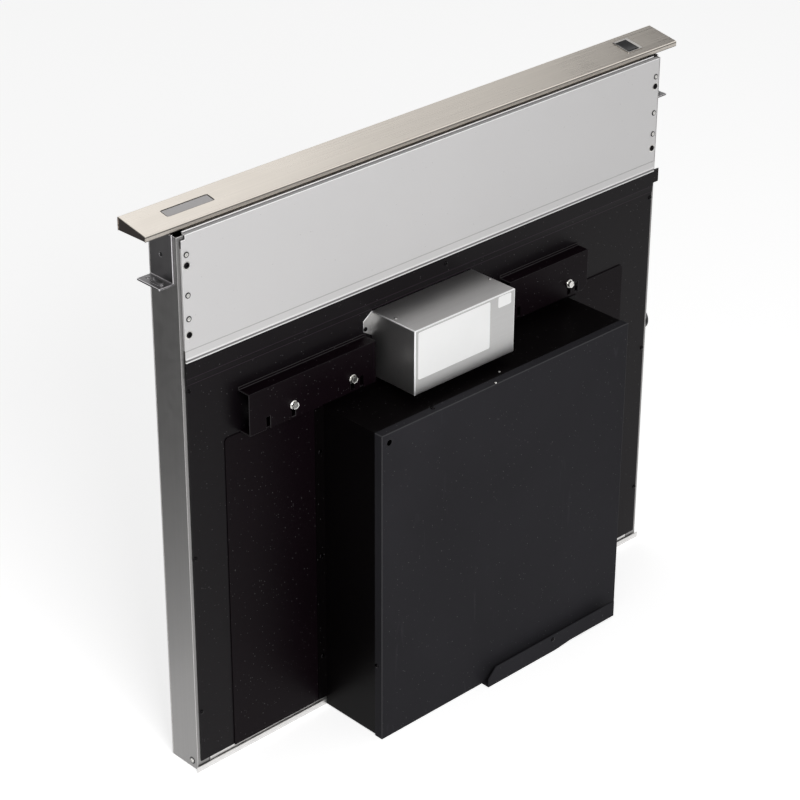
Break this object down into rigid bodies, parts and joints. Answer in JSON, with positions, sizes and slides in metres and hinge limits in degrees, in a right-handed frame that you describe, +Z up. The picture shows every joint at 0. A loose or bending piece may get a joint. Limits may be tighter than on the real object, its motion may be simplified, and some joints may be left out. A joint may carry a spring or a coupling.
{
  "type": "downdraft vent",
  "caption": "Slim retractable downdraft vent with a lifting filter riser under a sloping cap, a front blower box, a control box and worktop brackets.",
  "frame": {"origin": "under the middle of the whole unit's box, on the plane that the case and the blower box stand on", "axes": "+X along the cap towards the switch, +Y from the room side (blower box) to the back, +Z up, the way the riser lifts"},
  "size_m": [0.762, 0.1528, 0.6458],
  "materials": {
    "brushed_stainless": "brushed along the length",
    "dark_stainless": "brushed, darker",
    "galvanised_sheet": "satin galvanised",
    "grey_sheet": "satin light grey",
    "black_powder_coat": "satin powder coat",
    "black_plastic": "fine grained",
    "black_screws": "black oxide",
    "zinc_plated": "bright zinc",
    "filter_aluminium": "mill finish",
    "nylon": "moulded",
    "bearing_brass": "machined",
    "motor_paint": "satin",
    "circuit_board": "solder mask",
    "label_film": "printed film, bare",
    "felt": "felt",
    "rubber": "moulded"
  },
  "bodies": {
    "case": {"back_panel": "galvanised_sheet", "side_panel_left": "galvanised_sheet", "side_panel_right": "galvanised_sheet", "upper_front_panel": "grey_sheet", "header_band": "black_powder_coat", "lower_front_panel": "black_powder_coat", "bottom_pan": "galvanised_sheet", "blower_mount_plate": "black_powder_coat", "support_rail_left": "black_powder_coat", "support_rail_right": "black_powder_coat", "rail_bolts": "zinc_plated", "worktop_bracket_left": "dark_stainless", "worktop_bracket_right": "dark_stainless", "guide_rail_left": "galvanised_sheet", "guide_rail_right": "galvanised_sheet", "rest_bumpers": "rubber", "riser_seals": "felt", "panel_screws": "black_screws", "case_screws": "zinc_plated", "side_plug": "black_plastic", "control_base": "galvanised_sheet", "control_cover": "galvanised_sheet", "control_board": "circuit_board", "run_capacitor": "filter_aluminium", "control_labels": "label_film", "cord_bushing": "black_plastic", "lift_gearbox": "motor_paint", "lift_motor": "motor_paint", "lift_motor_bracket": "galvanised_sheet", "screw_bearing": "bearing_brass", "limit_switches": "black_plastic", "blower_shell": "black_powder_coat", "blower_front_cover": "black_powder_coat", "scroll_wall": "galvanised_sheet", "inlet_ring": "galvanised_sheet", "blower_motor": "motor_paint", "motor_mount": "black_powder_coat", "outlet_plate": "black_powder_coat", "damper_frame": "galvanised_sheet", "damper_pin": "zinc_plated"},
    "riser": {"top_cap": "brushed_stainless", "cap_end_left": "dark_stainless", "cap_end_right": "dark_stainless", "cap_clips": "galvanised_sheet", "badge_plate": "dark_stainless", "switch_bezel": "black_plastic", "riser_front": "brushed_stainless", "riser_back": "brushed_stainless", "riser_side_left": "brushed_stainless", "riser_side_right": "brushed_stainless", "grease_filter_left": "filter_aluminium", "grease_filter_right": "filter_aluminium", "lift_crossbar": "galvanised_sheet", "lift_nut": "nylon", "glide_blocks": "nylon"},
    "rocker": {"rocker_switch": "black_plastic"},
    "screw": {"lead_screw": "zinc_plated"},
    "wheel": {"motor_shaft": "zinc_plated", "blower_wheel": "galvanised_sheet"},
    "damper": {"damper_flap": "filter_aluminium"}
  },
  "joints": [
    {"name": "riser_lift", "type": "slide", "parent": "case", "child": "riser", "axis": [0, 0, 1], "range_m": [0, 0.24]},
    {"name": "screw_spin", "type": "hinge", "parent": "case", "child": "screw", "pos_m": [-0.2, 0.0567, 0.06], "axis": [0, 0, 1], "range_deg": [-7200, 0]},
    {"name": "rocker_tilt", "type": "hinge", "parent": "riser", "child": "rocker", "pos_m": [0.322, 0.05594, 0.63846], "axis": [1, 0, 0], "range_deg": [-6, 6], "stiffness_Nm_per_rad": 0.05},
    {"name": "wheel_spin", "type": "hinge", "parent": "case", "child": "wheel", "pos_m": [0.005, -0.0126, 0.2], "axis": [0, 1, 0], "continuous": true},
    {"name": "damper_swing", "type": "hinge", "parent": "case", "child": "damper", "pos_m": [0.0915, 0.0192, 0.0798], "axis": [1, 0, 0], "range_deg": [0, 75], "stiffness_Nm_per_rad": 0.019, "springref_deg": -68.75}
  ],
  "couplings": [
    {"joint": "screw_spin", "follows": "riser_lift", "rad_per_m": -523.6}
  ]
}
